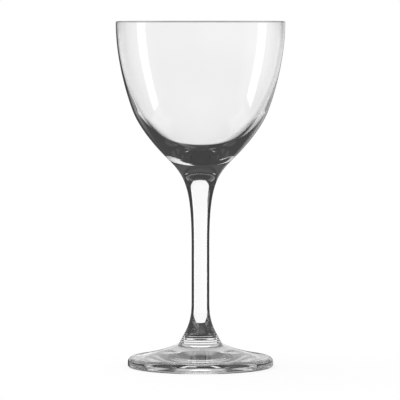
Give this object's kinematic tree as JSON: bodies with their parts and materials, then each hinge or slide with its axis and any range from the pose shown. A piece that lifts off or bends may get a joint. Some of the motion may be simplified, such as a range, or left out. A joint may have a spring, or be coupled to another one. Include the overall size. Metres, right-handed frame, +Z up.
{
  "type": "nick and nora glass",
  "caption": "Stemmed cocktail glass in clear glass: a deep tulip bowl with a thin rim, a slim drawn stem flared at both ends, and a low conical foot with a round edge.",
  "frame": {"origin": "centre of the foot's bearing ring, in the plane that the glass stands on", "axes": "+Z up the glass's axis of revolution, from the foot to the rim; X and Y are level"},
  "size_m": [0.0742, 0.0742, 0.152],
  "materials": {
    "clear_glass": "fire-polished gloss"
  },
  "bodies": {
    "root": {"bowl": "clear_glass", "stem": "clear_glass", "foot": "clear_glass"}
  },
  "joints": []
}
